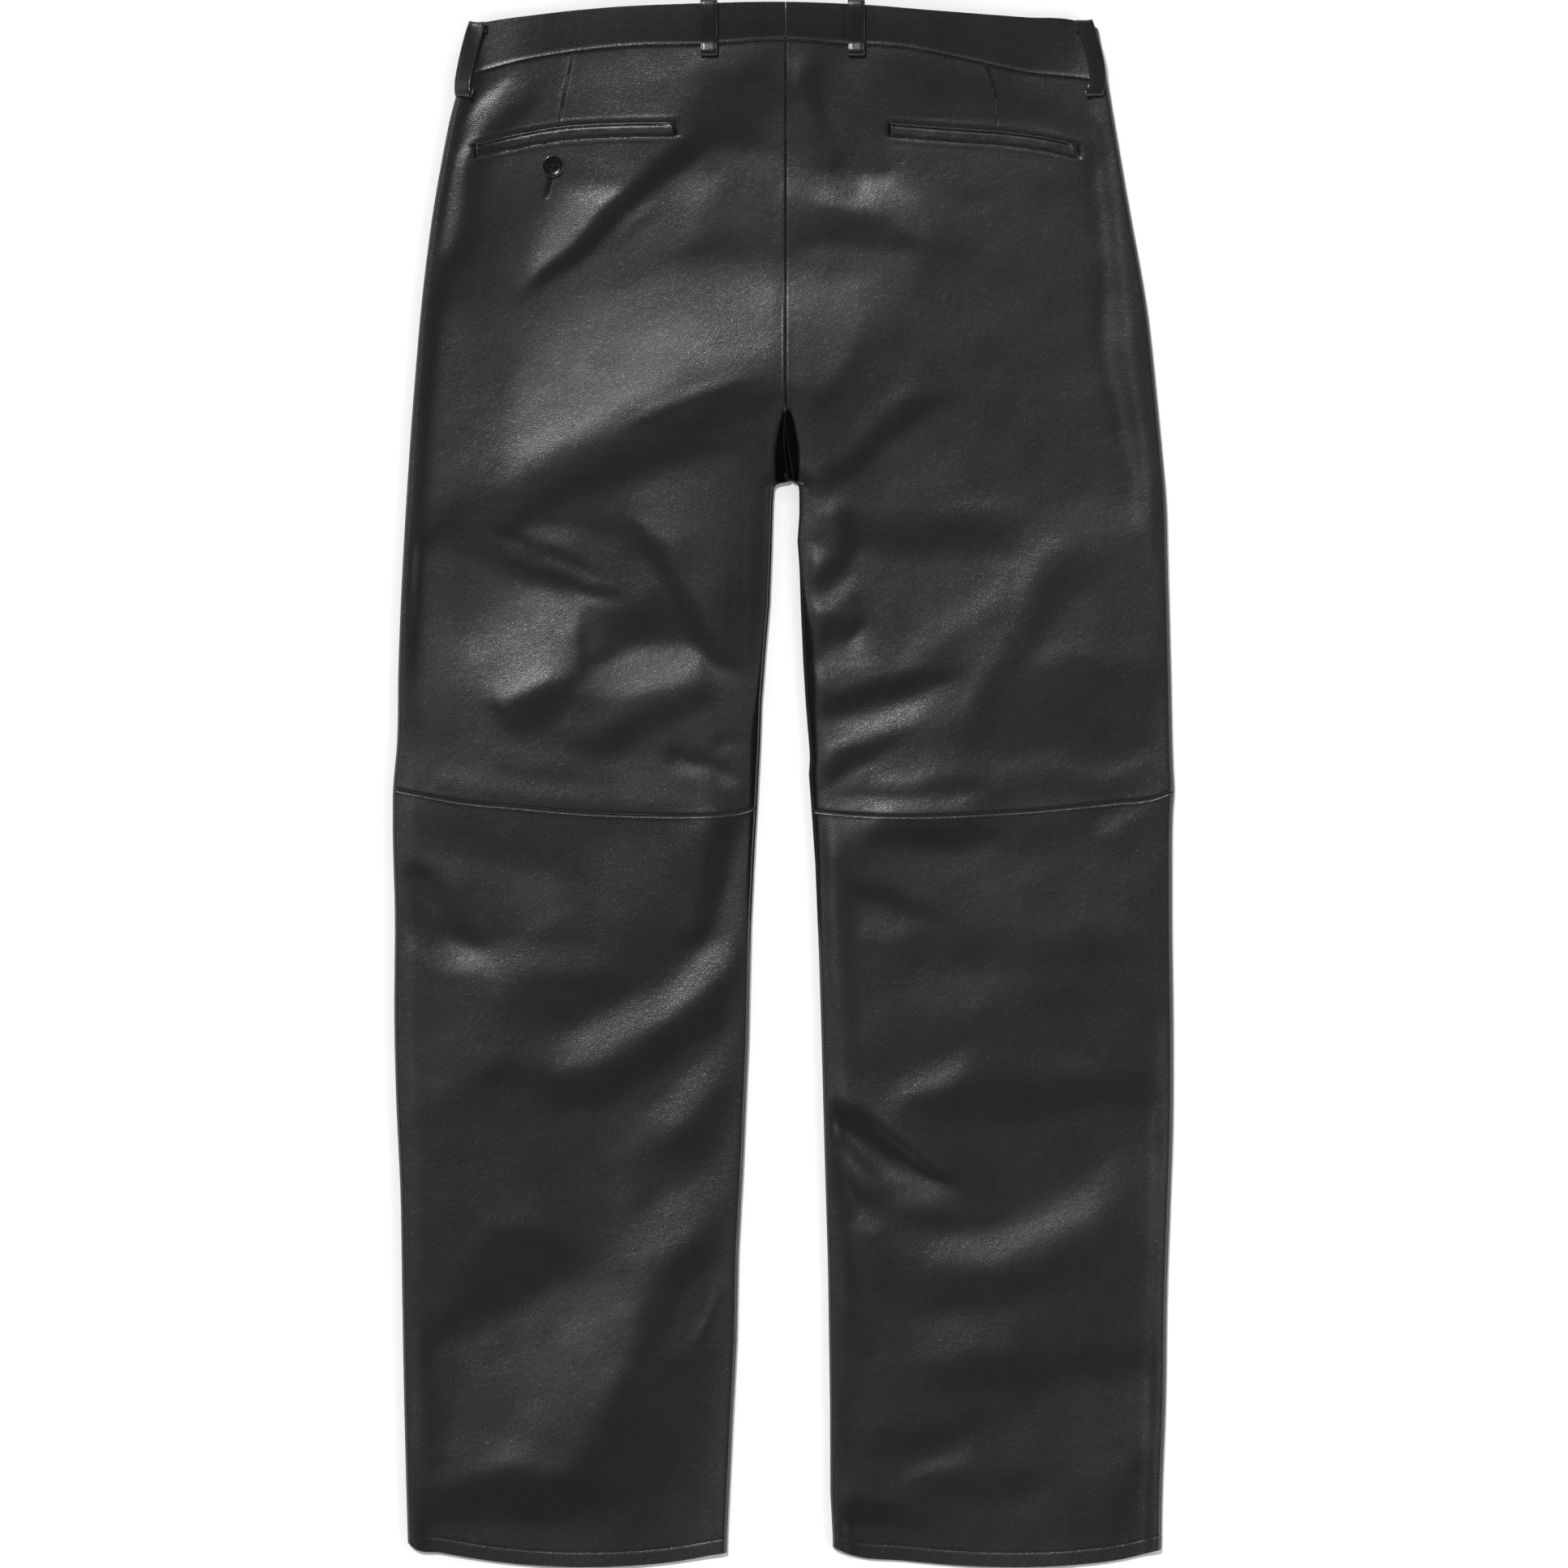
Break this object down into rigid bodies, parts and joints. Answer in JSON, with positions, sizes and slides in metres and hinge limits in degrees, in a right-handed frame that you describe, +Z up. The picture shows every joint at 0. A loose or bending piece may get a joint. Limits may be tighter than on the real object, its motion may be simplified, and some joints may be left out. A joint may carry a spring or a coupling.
{
  "type": "leather trousers",
  "caption": "Plain black leather trousers laid out flat, front down, with a waistband and belt loops, back welt pockets and knee seams.",
  "frame": {"origin": "centre of the outline, on the surface that the trousers lie on", "axes": "+X to the wearer's right as the back is seen, +Y from the hems to the waist, +Z up out of the back"},
  "size_m": [0.5486, 1.1003, 0.0141],
  "materials": {
    "leather": "satin",
    "button": "satin",
    "zip_tape": "matte",
    "hook": "satin"
  },
  "bodies": {
    "root": {"back_thigh_left": "leather", "back_thigh_right": "leather", "back_shin_left": "leather", "back_shin_right": "leather", "front_left": "leather", "front_right": "leather", "waistband_back_left": "leather", "waistband_back_right": "leather", "waistband_front_left": "leather", "waistband_front_right": "leather", "belt_loop_back_left": "leather", "belt_loop_back_right": "leather", "belt_loop_side_left": "leather", "belt_loop_side_right": "leather", "pocket_welt_left": "leather", "pocket_welt_right": "leather", "pocket_button": "button", "fly_zip": "zip_tape", "waist_hook": "hook"}
  },
  "joints": []
}
